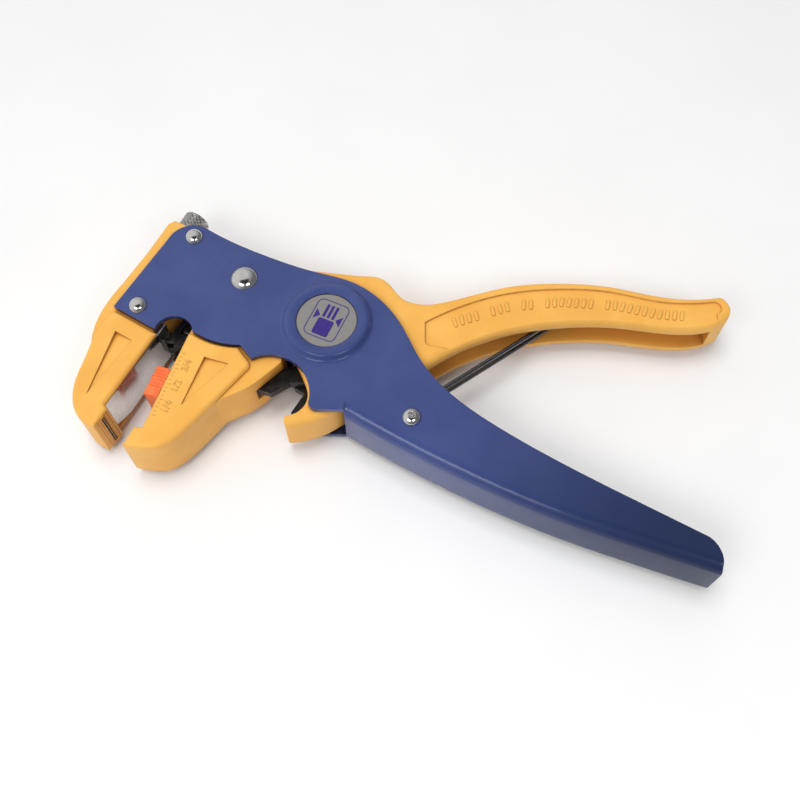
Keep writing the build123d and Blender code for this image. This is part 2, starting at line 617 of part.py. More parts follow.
with BuildPart() as moving_jaw:
    with BuildSketch(BENCH):
        moving_jaw_core()
    extrude(amount=BODY_HALF, both=True)
    with BuildSketch(BENCH):
        moving_jaw_cheek()
    extrude(amount=CHEEK_HALF, both=True)
    fillet(both_faces(moving_jaw), JAW_ROUND)
    cheek_recess((-32.5, -10.7), (-25.9, -12.8), (-37.3, -25.1))
    with BuildSketch(BENCH):
        shape((-6.0, -18.9), (-18.6, -18.9), (-18.6, -15.2), (-22.0, -14.6), (-27.5, -9.0), (-33.0, -6.0),
              (-46.0, -6.0), (-46.0, 30.0), (-6.0, 30.0))
        disc(STRUT_ON_JAW, STRUT_END_R + 0.35)
    extrude(amount=SLOT_HALF, both=True, mode=Mode.SUBTRACT)
    # groove of the moving slide, and the two slots that the length stop's feet run in
    with BuildSketch(BENCH):
        shape(on_moving(3.0, -1.6), on_moving(3.0, 3.0), on_moving(-28.3, 3.0), on_moving(-28.3, -1.6))
    extrude(amount=3.0, both=True, mode=Mode.SUBTRACT)
    for side in (1, -1):
        with BuildSketch(BENCH.offset(side * (RAIL_IN - 0.15))):
            shape(on_moving(-1.5, -2.3), on_moving(-1.5, 3.0), on_moving(-26.5, 3.0), on_moving(-26.5, -2.3))
        extrude(amount=side * (RAIL_OUT - RAIL_IN + 0.3), mode=Mode.SUBTRACT)
    for step in (1.2, 1.95, 3.9, 4.65):
        cross_cut(polar(TIP_FACE, TIP_DIR, step), TIP_DIR + 45, GRIP_CUT, GRIP_CUT)
    cross_cut(MOVING_BLADE, TIP_DIR, BLADE_SLOT, 2 * BLADE_DEEP + 0.2, BLADE_HALF + 0.1)
    pin(JAW_PIVOT, JAW_PIN_R + RUN, HALF, Mode.SUBTRACT)
    pin(STRUT_ON_JAW, LINK_PIN_R, STRUT_PIN_HALF, Mode.SUBTRACT)
save(moving_jaw, "moving_jaw")

with BuildPart() as strut_pin:
    pin(STRUT_ON_JAW, LINK_PIN_R, STRUT_PIN_HALF)
save(strut_pin, "strut_pin")

with BuildPart() as moving_blade:
    with BuildSketch(BENCH):
        shape(polar(MOVING_BLADE, TIP_DIR, -BLADE_T / 2, BLADE_DEEP),
              polar(MOVING_BLADE, TIP_DIR, -BLADE_T / 2, 0.8), polar(MOVING_BLADE, TIP_DIR, 0.0, 0.05),
              polar(MOVING_BLADE, TIP_DIR, BLADE_T / 2, 0.8),
              polar(MOVING_BLADE, TIP_DIR, BLADE_T / 2, BLADE_DEEP))
    extrude(amount=BLADE_HALF, both=True)
save(moving_blade, "moving_blade")

with BuildPart() as moving_jaw_slide:
    with BuildSketch(BENCH):
        shape(on_moving(-8.0, -1.3), on_moving(-8.0, -0.3), on_moving(-27.4, -0.3), on_moving(-27.4, -1.3))
    extrude(amount=2.7, both=True)
save(moving_jaw_slide, "moving_jaw_slide")

with BuildPart() as length_stop:
    with BuildSketch(BENCH):
        shape(on_moving(STOP_ALONG, 0.15), on_moving(STOP_ALONG, STOP_OUT),
              on_moving(STOP_ALONG - STOP_LONG, STOP_OUT), on_moving(STOP_ALONG - STOP_LONG, 0.15))
    extrude(amount=7.6, both=True)
    chamfer(length_stop.edges().filter_by(Axis.Z), 0.4)
    for side in (1, -1):
        with BuildSketch(BENCH.offset(side * RAIL_IN)):
            shape(on_moving(STOP_ALONG - 1, -2.1), on_moving(STOP_ALONG - 1, 0.6),
                  on_moving(STOP_ALONG - STOP_LONG + 1, 0.6), on_moving(STOP_ALONG - STOP_LONG + 1, -2.1))
        extrude(amount=side * (RAIL_OUT - RAIL_IN))
save(length_stop, "length_stop")
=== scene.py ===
"""Looks of the wire stripper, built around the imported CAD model."""
import math

import bpy
import bmesh
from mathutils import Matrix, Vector


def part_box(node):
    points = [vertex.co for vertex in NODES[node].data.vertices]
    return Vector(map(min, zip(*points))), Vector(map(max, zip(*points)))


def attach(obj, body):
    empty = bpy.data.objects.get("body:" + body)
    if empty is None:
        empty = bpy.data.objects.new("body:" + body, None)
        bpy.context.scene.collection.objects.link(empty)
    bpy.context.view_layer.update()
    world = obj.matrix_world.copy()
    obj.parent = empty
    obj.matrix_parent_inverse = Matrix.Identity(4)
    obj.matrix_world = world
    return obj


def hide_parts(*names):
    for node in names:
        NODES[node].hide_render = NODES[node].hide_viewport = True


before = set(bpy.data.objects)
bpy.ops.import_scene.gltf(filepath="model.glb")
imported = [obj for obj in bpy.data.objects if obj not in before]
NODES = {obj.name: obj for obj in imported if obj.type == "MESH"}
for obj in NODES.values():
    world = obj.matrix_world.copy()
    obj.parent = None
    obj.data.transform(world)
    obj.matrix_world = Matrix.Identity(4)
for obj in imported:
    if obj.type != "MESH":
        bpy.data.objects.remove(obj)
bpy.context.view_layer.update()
MM = 0.001
BOTH_SIDES = ((1, "near"), (-1, "far"))


# ---- places, in millimetres from the handle pivot in the middle plane ----------------
def middle(node):
    """The middle of a CAD node's box."""
    low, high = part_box(node)
    return (low + high) / 2


PIVOT = middle("handle_pivot_pin")


def at(x, y, z):
    """Millimetres from the handle pivot, as a point in the row frame."""
    return PIVOT + Vector((x, y, z)) * MM


def from_pivot(point):
    """A point in the row frame, as millimetres from the handle pivot."""
    return (point - PIVOT) / MM


def heading(degrees):
    """A unit vector in the plane of the tool."""
    angle = math.radians(degrees)
    return Vector((math.cos(angle), math.sin(angle), 0.0))


# ---- node helpers --------------------------------------------------------------------
def soft_step(tree, value, low, high, start, end):
    """Value from low..high mapped smoothly to start..end."""
    node = tree.nodes.new("ShaderNodeMapRange")
    node.interpolation_type = "SMOOTHSTEP"
    limits = {"From Min": low, "From Max": high, "To Min": start, "To Max": end}
    for socket, number in limits.items():
        node.inputs[socket].default_value = number
    tree.links.new(value, node.inputs["Value"])
    return node.outputs["Result"]


# the Mix node has sockets of the same name for numbers, vectors and colours
MIX_COLOUR_A = 6
MIX_COLOUR_B = 7
MIX_COLOUR_OUT = 2
BEVEL_SAMPLES = 4
CORNER_SHADE_SAMPLES = 6


class Shader:
    """A material being put together, with coordinates in millimetres."""

    def __init__(self, name):
        self.material = bpy.data.materials.new(name)
        self.material.use_nodes = True
        self.tree = self.material.node_tree
        self.bsdf = self.tree.nodes["Principled BSDF"]
        place = self.tree.nodes.new("ShaderNodeTexCoord")
        scale = self.tree.nodes.new("ShaderNodeVectorMath")
        scale.operation = "SCALE"
        scale.inputs["Scale"].default_value = 1 / MM
        self.link(place.outputs["Object"], scale.inputs[0])
        self.place = scale.outputs["Vector"]

    def link(self, source, target):
        self.tree.links.new(source, target)

    def put(self, value, socket):
        """A socket's value, from a number, a colour or another node."""
        if isinstance(value, bpy.types.NodeSocket):
            self.link(value, socket)
        elif isinstance(value, tuple):
            socket.default_value = (*value, 1.0)
        else:
            socket.default_value = value

    def set(self, **values):
        """Constants and links on the shader: base_color=..., roughness=..."""
        for key, value in values.items():
            words = ("IOR" if word == "ior" else word.capitalize() for word in key.split("_"))
            self.put(value, self.bsdf.inputs[" ".join(words)])

    def stretch(self, scale, turn):
        """The coordinates, turned about Z and stretched."""
        node = self.tree.nodes.new("ShaderNodeMapping")
        node.inputs["Scale"].default_value = scale
        node.inputs["Rotation"].default_value = (0, 0, math.radians(turn))
        self.link(self.place, node.inputs["Vector"])
        return node.outputs["Vector"]

    def along(self, angle):
        """Millimetres from the handle pivot along a direction in the plane of the tool."""
        node = self.tree.nodes.new("ShaderNodeVectorMath")
        node.operation = "DOT_PRODUCT"
        node.inputs[1].default_value = heading(angle)
        self.link(self.place, node.inputs[0])
        return self.math("SUBTRACT", node.outputs["Value"], PIVOT.dot(heading(angle)) / MM)

    def noise(self, scale, detail=3.0, rough=0.55, place=None):
        node = self.tree.nodes.new("ShaderNodeTexNoise")
        node.inputs["Scale"].default_value = scale
        node.inputs["Detail"].default_value = detail
        node.inputs["Roughness"].default_value = rough
        self.link(place or self.place, node.inputs["Vector"])
        return node.outputs["Fac"]

    def grains(self, scale):
        node = self.tree.nodes.new("ShaderNodeTexVoronoi")
        node.inputs["Scale"].default_value = scale
        self.link(self.place, node.inputs["Vector"])
        return node.outputs["Distance"]

    def ramp(self, value, low, high, start=0.0, end=1.0):
        """Value from low..high mapped smoothly to start..end."""
        return soft_step(self.tree, value, low, high, start, end)

    def mottle(self, scale, detail=3.0, low=0.3, high=0.7, start=0.0, end=1.0):
        """Noise with its middle range spread over start..end."""
        return self.ramp(self.noise(scale, detail), low, high, start, end)

    def math(self, operation, a, b):
        node = self.tree.nodes.new("ShaderNodeMath")
        node.operation = operation
        self.put(a, node.inputs[0])
        self.put(b, node.inputs[1])
        return node.outputs["Value"]

    def blend(self, amount, a, b):
        """Colour a where amount is 0, b where it is 1."""
        node = self.tree.nodes.new("ShaderNodeMix")
        node.data_type = "RGBA"
        self.put(amount, node.inputs["Factor"])
        self.put(a, node.inputs[MIX_COLOUR_A])
        self.put(b, node.inputs[MIX_COLOUR_B])
        return node.outputs[MIX_COLOUR_OUT]

    def tint(self, amount, share, a, b):
        """Colour a, going up to share of the way to b where amount is 1."""
        return self.blend(self.math("MULTIPLY", amount, share), a, b)

    def edges(self, radius):
        """0 on flat surfaces, up to 1 on sharp edges, and the rounded normal."""
        bevel = self.tree.nodes.new("ShaderNodeBevel")
        bevel.samples = BEVEL_SAMPLES
        bevel.inputs["Radius"].default_value = radius * MM
        surface = self.tree.nodes.new("ShaderNodeNewGeometry")
        dot = self.tree.nodes.new("ShaderNodeVectorMath")
        dot.operation = "DOT_PRODUCT"
        self.link(bevel.outputs["Normal"], dot.inputs[0])
        self.link(surface.outputs["True Normal"], dot.inputs[1])
        return self.ramp(dot.outputs["Value"], 0.97, 0.75), bevel.outputs["Normal"]

    def corner_shade(self, reach):
        """1 deep in a corner or a gap, 0 in the open: the mask for painted shade."""
        node = self.tree.nodes.new("ShaderNodeAmbientOcclusion")
        node.samples = CORNER_SHADE_SAMPLES
        node.inputs["Distance"].default_value = reach * MM
        return self.ramp(node.outputs["AO"], 0.82, 0.30)

    def bump(self, height, distance, normal, strength):
        node = self.tree.nodes.new("ShaderNodeBump")
        node.inputs["Distance"].default_value = distance * MM
        node.inputs["Strength"].default_value = strength
        self.link(height, node.inputs["Height"])
        if normal is not None:
            self.link(normal, node.inputs["Normal"])
        return node.outputs["Normal"]


# ---- materials -----------------------------------------------------------------------
# the blue grip of the frame runs away from the pivot in this direction
FRAME_GRIP_ANGLE = -32.0


def enamel_blue():
    """Glossy stove enamel: orange peel, painted highlight on edges, painted shade in corners and
    towards the end of the grip.
    """
    s = Shader("enamel_blue")
    edge, rounded = s.edges(0.35)
    cloud = s.mottle(0.05, 4.0, 0.35, 0.68)
    paint = s.blend(cloud, (0.040, 0.062, 0.205), (0.052, 0.076, 0.235))
    towards_end = s.along(FRAME_GRIP_ANGLE)
    # painted shade: the paint darkens towards the end of the grip
    paint = s.blend(s.ramp(towards_end, 30.0, 115.0), paint, (0.018, 0.028, 0.080))
    # painted shade: the paint darkens in corners and gaps
    paint = s.tint(s.corner_shade(7.0), 0.92, paint, (0.004, 0.005, 0.012))
    # painted highlight: the edges are lightened, in patches, towards a pale blue
    edge_highlight = s.math("MULTIPLY", edge, s.mottle(0.9, 5.0, 0.40, 0.62))
    s.set(base_color=s.blend(edge_highlight, paint, (0.13, 0.15, 0.30)))
    s.set(roughness=s.mottle(0.9, 2.0, start=0.20, end=0.24))
    s.set(coat_weight=s.ramp(towards_end, 20.0, 110.0, 0.25, 0.06), coat_roughness=0.04)
    s.set(specular_ior_level=s.ramp(towards_end, 20.0, 110.0, 0.33, 0.14))
    s.set(normal=s.bump(s.noise(0.45, 2.0), 0.02, rounded, 0.12))
    return s.material


def cast_yellow():
    """Satin yellow powder coat on the castings: fine grain, cloudiness, painted highlight on
    edges, painted shade in the corners.
    """
    s = Shader("cast_yellow")
    edge, rounded = s.edges(0.5)
    speck = s.mottle(3.5, 2.0, 0.70, 0.78)
    body = s.blend(s.mottle(0.09, 4.0), (0.880, 0.440, 0.082), (0.935, 0.500, 0.105))
    # painted highlight: edges lightened towards a paler yellow
    body = s.tint(edge, 0.55, body, (0.96, 0.56, 0.16))
    body = s.tint(speck, 0.25, body, (0.62, 0.28, 0.05))
    # painted shade: darker in tight corners and in wider hollows
    body = s.tint(s.corner_shade(1.6), 0.62, body, (0.42, 0.135, 0.018))
    body = s.tint(s.corner_shade(9.0), 0.60, body, (0.42, 0.150, 0.020))
    grain = s.math("ADD", s.noise(4.5, 3.0), s.math("MULTIPLY", s.noise(0.8, 2.0), 0.8))
    s.set(base_color=body, roughness=s.mottle(1.4, 3.0, start=0.40, end=0.54))
    s.set(specular_ior_level=0.42)
    s.set(normal=s.bump(grain, 0.045, rounded, 0.5))
    return s.material


def moulded_orange():
    """Moulded acetal of the length stop."""
    s = Shader("moulded_orange")
    edge, rounded = s.edges(0.25)
    body = s.blend(s.mottle(0.4), (0.90, 0.160, 0.040), (0.96, 0.215, 0.065))
    # painted highlight: edges lightened towards a paler orange
    s.set(base_color=s.tint(edge, 0.5, body, (1.0, 0.36, 0.15)))
    s.set(roughness=s.mottle(2.0, start=0.38, end=0.50))
    s.set(subsurface_weight=0.12, subsurface_scale=0.8 * MM)
    s.set(normal=s.bump(s.noise(5.0), 0.02, rounded, 0.5))
    return s.material


def metal(name, dark, light, rough, scale, turn=0.0, grain=0.012):
    """Bare metal, brushed finely along one direction, with smudges and a painted highlight on its
    edges.
    """
    s = Shader(name)
    edge, rounded = s.edges(0.25)
    lines = s.noise(1.0, 4.0, 0.6, s.stretch(scale, turn))
    smudge = s.noise(0.22, 4.0)
    tone = s.blend(s.ramp(lines, 0.3, 0.7), dark, light)
    # painted highlight: edges brighter than the rest of the metal
    tone = s.tint(edge, 0.5, tone, tuple(min(1.0, c * 1.25) for c in light))
    roughness = s.math("ADD", s.ramp(smudge, 0.35, 0.65, rough * 0.75, rough * 1.25),
                       s.ramp(lines, 0.3, 0.7, 0.0, rough * 0.3))
    s.set(base_color=tone, metallic=1.0, roughness=roughness)
    s.set(normal=s.bump(lines, grain, rounded, 0.5))
    return s.material


def black_oxide():
    """Blackened, oiled steel of the links and the cutter, bright where edges rub."""
    s = Shader("black_oxide")
    edge, rounded = s.edges(0.22)
    lines = s.noise(1.0, 4.0, 0.6, s.stretch((0.5, 6.0, 6.0), 35.0))
    worn = s.math("MULTIPLY", edge, s.mottle(1.3, 5.0, 0.42, 0.60))
    oxide = s.blend(s.mottle(0.5, 4.0, 0.35), (0.010, 0.010, 0.011), (0.034, 0.031, 0.029))
    s.set(base_color=s.blend(worn, oxide, (0.34, 0.33, 0.32)), metallic=0.55,
          roughness=s.ramp(lines, 0.3, 0.7, 0.30, 0.46))
    s.set(normal=s.bump(lines, 0.02, rounded, 0.6))
    return s.material


def black_nylon():
    """Grained nylon of the bush inside the spring."""
    s = Shader("black_nylon")
    _, rounded = s.edges(0.3)
    s.set(base_color=s.blend(s.mottle(0.6), (0.012, 0.012, 0.013), (0.028, 0.028, 0.030)))
    s.set(roughness=s.mottle(3.0, start=0.42, end=0.6))
    s.set(normal=s.bump(s.grains(4.0), 0.02, rounded, 0.4))
    return s.material


def badge_metal():
    """Satin printed aluminium: fine straight brushing and faint mottling."""
    s = Shader("badge_metal")
    _, rounded = s.edges(0.15)
    lines = s.noise(1.0, 3.0, 0.6, s.stretch((0.8, 14.0, 1.0), 20.0))
    tone = s.blend(s.ramp(lines, 0.3, 0.7), (0.31, 0.295, 0.285), (0.39, 0.375, 0.36))
    s.set(base_color=tone, metallic=0.55, roughness=s.mottle(1.2, 4.0, start=0.36, end=0.50))
    s.set(normal=s.bump(lines, 0.01, rounded, 0.5))
    return s.material


def indigo_print():
    """Screen-printed ink on the badge."""
    s = Shader("indigo_print")
    worn = s.mottle(5.0, 5.0, 0.66, 0.72)
    ink = s.blend(s.mottle(1.5), (0.032, 0.012, 0.180), (0.044, 0.020, 0.225))
    s.set(base_color=s.tint(worn, 0.4, ink, (0.25, 0.23, 0.38)), roughness=0.42)
    s.set(normal=s.bump(s.noise(9.0), 0.006, None, 0.5))
    return s.material


def floor_paper():
    """Matt white paper under the tool."""
    s = Shader("floor_paper")
    tone = s.blend(s.mottle(0.02), (0.925, 0.925, 0.925), (0.945, 0.945, 0.945))
    s.set(base_color=tone, roughness=0.9, specular_ior_level=0.1)
    s.set(normal=s.bump(s.noise(2.5, 3.0), 0.02, None, 0.3))
    return s.material


BLUE = enamel_blue()
YELLOW = cast_yellow()
ORANGE = moulded_orange()
CHROME = metal("chrome_plate", (0.66, 0.65, 0.64), (0.78, 0.77, 0.76),
               rough=0.07, scale=(3.0, 3.0, 3.0), grain=0.004)
STEEL = metal("ground_steel", (0.42, 0.42, 0.42), (0.58, 0.57, 0.56),
              rough=0.24, scale=(8.0, 1.0, 8.0))
MIRROR = metal("polished_steel", (0.60, 0.58, 0.57), (0.74, 0.73, 0.72),
               rough=0.13, scale=(6.0, 6.0, 0.5), grain=0.006)
KNOB = metal("knurled_steel", (0.36, 0.355, 0.35), (0.62, 0.61, 0.59),
             rough=0.24, scale=(5.0, 5.0, 5.0))
WIRE_STEEL = metal("spring_wire", (0.07, 0.07, 0.08), (0.24, 0.24, 0.25),
                   rough=0.12, scale=(1.2, 6.0, 6.0), turn=-34.0, grain=0.008)
BLACK = black_oxide()
NYLON = black_nylon()
BADGE = badge_metal()
INK = indigo_print()

LOOKS = (
    (BLUE, ("frame_shell",)),
    (YELLOW, ("fixed_jaw", "moving_jaw", "squeeze_handle")),
    (ORANGE, ("length_stop",)),
    (CHROME, ("jaw_pivot_rivet", "fixed_jaw_rivets", "spring_rivet")),
    (BADGE, ("badge_front", "badge_back")),
    (STEEL, ("handle_pivot_pin", "fixed_blade", "moving_blade", "slide_pin", "drawbar_pin",
             "crank_pin", "strut_pin", "cutter_rivets", "adjuster_nut")),
    (MIRROR, ("fixed_jaw_slide",)),
    (BLACK, ("moving_jaw_slide", "slide_fork", "drawbar", "closing_strut", "cutter_blade")),
    (KNOB, ("adjuster_screw",)),
    (WIRE_STEEL, ("return_spring", "spring_anchor")),
    (NYLON, ("spring_bush",)),
)
for look, node_names in LOOKS:
    for node_name in node_names:
        shown = NODES[node_name]
        shown.data.materials.clear()
        shown.data.materials.append(look)


# ---- mesh helpers --------------------------------------------------------------------
def mesh_of(name, bm):
    """A mesh from a bmesh, with its faces looking outwards."""
    bmesh.ops.recalc_face_normals(bm, faces=bm.faces)
    mesh = bpy.data.meshes.new(name)
    bm.to_mesh(mesh)
    bm.free()
    return mesh


def piece(name, mesh, look, body):
    """An object from a mesh, with its material, riding on its body."""
    made = bpy.data.objects.new(name, mesh)
    bpy.context.scene.collection.objects.link(made)
    mesh.materials.clear()
    mesh.materials.append(look)
    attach(made, body)
    return made


def smooth_by_angle(thing, degrees):
    """Smooth faces, sharp where two faces meet at more than this angle."""
    limit = math.radians(degrees)
    bm = bmesh.new()
    bm.from_mesh(thing.data)
    for face in bm.faces:
        face.smooth = True
    for edge in bm.edges:
        edge.smooth = edge.calc_face_angle(0.0) < limit
    bm.to_mesh(thing.data)
    bm.free()


def skin(bm, rings):
    """A closed skin over rings of as many vertices each, with a flat face at both ends."""
    for low, high in zip(rings, rings[1:]):
        count = len(low)
        for i in range(count):
            j = (i + 1) % count
            bm.faces.new((low[i], low[j], high[j], high[i]))
    bm.faces.new(rings[-1])
    bm.faces.new(list(reversed(rings[0])))


def prism(bm, outline, low, high):
    """A closed straight prism on a flat outline of (x, y) millimetres from the pivot."""
    skin(bm, [[bm.verts.new(at(x, y, z)) for x, y in outline] for z in (low, high)])


def round_bar(centre, angle, length, width, corner, steps=5):
    """Outline of a bar with rounded corners, lying along angle."""
    points = []
    ahead, left = heading(angle), heading(angle + 90)
    for quarter, (sign_a, sign_l) in enumerate(((1, 1), (-1, 1), (-1, -1), (1, -1))):
        for i in range(steps + 1):
            t = math.radians(90 * quarter + 90 * i / steps)
            a = sign_a * (length / 2 - corner) + corner * math.cos(t)
            b = sign_l * (width / 2 - corner) + corner * math.sin(t)
            spot = Vector((centre[0], centre[1], 0)) + ahead * a + left * b
            points.append((spot.x, spot.y))
    return points


WIRE_SIDES = 16


def wire_tube(name, points, radius, look, body):
    """A round wire along points, closed at both ends."""
    bm = bmesh.new()
    rings = []
    up = Vector((0, 0, 1))
    for i, p in enumerate(points):
        back, ahead = points[max(i - 1, 0)], points[min(i + 1, len(points) - 1)]
        tangent = (ahead - back).normalized()
        if i == 0:
            side = tangent.cross(up)
            side = side.normalized() if side.length > 0.1 else Vector((1, 0, 0))
        side = (side - tangent * side.dot(tangent)).normalized()
        other = tangent.cross(side)
        ring = []
        for k in range(WIRE_SIDES):
            theta = 2 * math.pi * k / WIRE_SIDES
            offset = (side * math.cos(theta) + other * math.sin(theta)) * radius
            ring.append(bm.verts.new(p + offset))
        rings.append(ring)
    skin(bm, rings)
    made = piece(name, mesh_of(name, bm), look, body)
    smooth_by_angle(made, 50)
    return made


# ---- CAD nodes get soft edges --------------------------------------------------------
EDGE_ROUND = 0.18
WELD_GAP = 0.001
FLAT_WITHIN = 0.5
EDGE_FROM = 40.0


def soften(node):
    """Joins the flat facets of a CAD node and rounds its sharp edges a little."""
    thing = NODES[node]
    weld = thing.modifiers.new("join", "WELD")
    weld.merge_threshold = WELD_GAP * MM
    flat = thing.modifiers.new("flatten", "DECIMATE")
    flat.decimate_type = "DISSOLVE"
    flat.angle_limit = math.radians(FLAT_WITHIN)
    bevel = thing.modifiers.new("edges", "BEVEL")
    bevel.width = EDGE_ROUND * MM
    bevel.segments = 2
    bevel.limit_method = "ANGLE"
    bevel.angle_limit = math.radians(EDGE_FROM)


# ---- camera and light ----------------------------------------------------------------
LENS = 42.525
CAMERA_PLACE = at(19.95, -132.93, 230.60)
CAMERA_TILT = 26.2
BACKDROP = 0.93
FLOOR_HALF = 3.0


def set_camera():
    """The photograph's view: from in front of the tool, looking down on it."""
    data = bpy.data.cameras.new("camera")
    data.lens = LENS
    data.clip_start = 0.01
    camera = bpy.data.objects.new("camera", data)
    camera.location = CAMERA_PLACE
    camera.rotation_euler = (math.radians(CAMERA_TILT), 0, 0)
    bpy.context.scene.collection.objects.link(camera)
    bpy.context.scene.camera = camera


def area_light(name, place, size, power, mirrored=True):
    """A rectangular light aimed at the middle of the tool."""
    data = bpy.data.lights.new(name, "AREA")
    data.shape = "RECTANGLE"
    data.size, data.size_y = size
    data.energy = power
    lamp = bpy.data.objects.new(name, data)
    lamp.location = place
    lamp.rotation_euler = (-Vector(place)).to_track_quat("-Z", "Y").to_euler()
    lamp.visible_glossy = mirrored
    bpy.context.scene.collection.objects.link(lamp)


def world_level(tree, direction, low, high, start, end):
    """A soft step of brightness towards one direction of the room."""
    place = tree.nodes.new("ShaderNodeTexCoord")
    lean = tree.nodes.new("ShaderNodeVectorMath")
    lean.operation = "DOT_PRODUCT"
    lean.inputs[1].default_value = direction
    tree.links.new(place.outputs["Generated"], lean.inputs[0])
    return soft_step(tree, lean.outputs["Value"], low, high, start, end)


def set_light():
    """A big softbox overhead and two smaller ones in front, left and right, in a pale room."""
    world = bpy.data.worlds.new("studio")
    world.use_nodes = True
    tree = world.node_tree
    room = world_level(tree, (-0.75, 0.25, 0.61), -0.2, 1.0, 0.17, 0.72)
    overhead = world_level(tree, (0.0, -0.15, 0.99), 0.86, 0.96, 1.0, 0.10)
    both = tree.nodes.new("ShaderNodeMath")
    both.operation = "MULTIPLY"
    tree.links.new(room, both.inputs[0])
    tree.links.new(overhead, both.inputs[1])
    # beyond the floor the camera itself sees an even, pale backdrop
    rays = tree.nodes.new("ShaderNodeLightPath")
    seen = tree.nodes.new("ShaderNodeMix")
    tree.links.new(rays.outputs["Is Camera Ray"], seen.inputs["Factor"])
    tree.links.new(both.outputs["Value"], seen.inputs["A"])
    seen.inputs["B"].default_value = BACKDROP
    tree.links.new(seen.outputs["Result"], tree.nodes["Background"].inputs["Strength"])
    tree.nodes["Background"].inputs["Color"].default_value = (1.0, 1.0, 1.0, 1.0)
    bpy.context.scene.world = world
    area_light("softbox", (-0.10, 0.05, 0.90), (0.45, 0.40), 3.7, mirrored=False)
    area_light("front_left", (-0.27, -0.37, 0.54), (0.34, 0.24), 1.10)
    area_light("front_right", (0.25, -0.38, 0.54), (0.26, 0.22), 0.72)
    bpy.context.scene.view_settings.view_transform = "Standard"


def lay_floor():
    """A wide level floor under the tool."""
    bm = bmesh.new()
    bmesh.ops.create_grid(bm, x_segments=1, y_segments=1, size=FLOOR_HALF)
    mesh = bpy.data.meshes.new("floor")
    bm.to_mesh(mesh)
    bm.free()
    floor = bpy.data.objects.new("floor", mesh)
    bpy.context.scene.collection.objects.link(floor)
    mesh.materials.append(floor_paper())


# ---- return spring as wound wire -----------------------------------------------------
WIRE_R = 0.65
SPRING = from_pivot(middle("spring_rivet"))
COIL_R = 4.8
COIL_TURNS = 2
COIL_END_Z = 4.5
ROD_Z = 1.7
ROD_ANGLE = 34.4
ROD_LONG = 53.0
TIP_ANGLE = 3.0
TIP_LONG = 4.5
LOOP_R = 1.6
ANCHOR_WIRE_R = 0.60
ANCHOR_ANGLE = -31.7
ANCHOR_SWEEP = 330.0
ANCHOR_LONG = 20.0
ANCHOR_START_Z = 5.85
ANCHOR_END_Z = 6.05


def coil(start_angle, end_angle, start_z, end_z, steps):
    """A helix about the spring's rivet."""
    points = []
    for i in range(steps + 1):
        t = i / steps
        a = heading(start_angle + (end_angle - start_angle) * t) * COIL_R
        points.append(at(SPRING.x + a.x, SPRING.y + a.y, start_z + (end_z - start_z) * t))
    return points


def rounded(points, radius, steps=6):
    """The points with each inner corner turned into a small arc."""
    path = [points[0]]
    for before, corner, after in zip(points, points[1:], points[2:]):
        into = (corner - before).normalized()
        out = (after - corner).normalized()
        half = into.angle(out) / 2
        run = radius * MM * math.tan(half)
        start, end = corner - into * run, corner + out * run
        for i in range(steps + 1):
            t = i / steps
            path.append(start.lerp(corner, t).lerp(corner.lerp(end, t), t))
    path.append(points[-1])
    return path


def spring():
    """The moving coils with their two long legs, and the turns that stand on the frame."""
    tangent = ROD_ANGLE + 90
    rod = Vector((SPRING.x, SPRING.y, 0)) + heading(tangent) * COIL_R
    bend = rod + heading(ROD_ANGLE) * ROD_LONG
    tip = bend + heading(TIP_ANGLE) * TIP_LONG
    legs = [at(p.x, p.y, ROD_Z) for p in (rod, bend, tip)]
    legs += [at(p.x, p.y, -ROD_Z) for p in (tip, bend, rod)]
    near = coil(tangent + 360 * COIL_TURNS, tangent, COIL_END_Z, ROD_Z, 36 * COIL_TURNS)
    far = [Vector((p.x, p.y, 2 * PIVOT.z - p.z)) for p in reversed(near)]
    path = near[:-1] + rounded(legs, LOOP_R) + far[1:]
    made = wire_tube("spring_wire", path, WIRE_R * MM, WIRE_STEEL, "spring")
    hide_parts("return_spring")
    foot = ANCHOR_ANGLE - 90
    for side, label in BOTH_SIDES:
        path = coil(foot - ANCHOR_SWEEP, foot, side * ANCHOR_START_Z, side * ANCHOR_END_Z, 34)
        path.append(path[-1] + heading(ANCHOR_ANGLE) * ANCHOR_LONG * MM)
        leg = wire_tube(f"spring_leg_{label}", path, ANCHOR_WIRE_R * MM, WIRE_STEEL, "frame")
        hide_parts("spring_anchor")


# ---- length stop with finger ridges --------------------------------------------------
# upper end and direction of the moving jaw's inner edge
MOVING_TOP = Vector((-37.9, -4.1, 0))
MOVING_DIR = 251.6


def on_moving(along, out):
    """A point on the moving jaw's inner edge: along it away from the tip, out into the mouth."""
    return MOVING_TOP + heading(MOVING_DIR) * -along + heading(MOVING_DIR + 90) * -out


# the stop's ends along that edge, half its width, and how far it stands out
STOP_TOP = -10.3
STOP_BOTTOM = -19.3
STOP_HALF = 7.6
STOP_INNER = 0.15
STOP_OUTER = 4.2
RIDGES = 6
RIDGE_DEEP = 0.38
RIDGES_END = -16.5
STOP_CORNER = 0.5
STOP_RIM = 0.45
FOOT_DEEP = -2.1
FOOT_Z = (3.5, 5.1)


def stop_outline():
    """The stop seen from its end, as (along, z): round corners, and ridges on both sides."""
    cut = 0.15
    start = STOP_TOP - STOP_CORNER
    points = [(STOP_TOP, STOP_HALF - STOP_CORNER), (STOP_TOP - cut, STOP_HALF - cut),
              (start, STOP_HALF)]
    pitch = (start - RIDGES_END) / RIDGES
    steps = 6
    for i in range(RIDGES):
        for j in range(1, steps + 1):
            t = j / steps
            groove = RIDGE_DEEP * abs(math.sin(math.pi * t)) ** 0.6
            points.append((start - pitch * (i + t), STOP_HALF - groove))
    points += [(STOP_BOTTOM + STOP_CORNER, STOP_HALF), (STOP_BOTTOM + cut, STOP_HALF - cut),
               (STOP_BOTTOM, STOP_HALF - STOP_CORNER)]
    return points + [(along, -z) for along, z in reversed(points)]


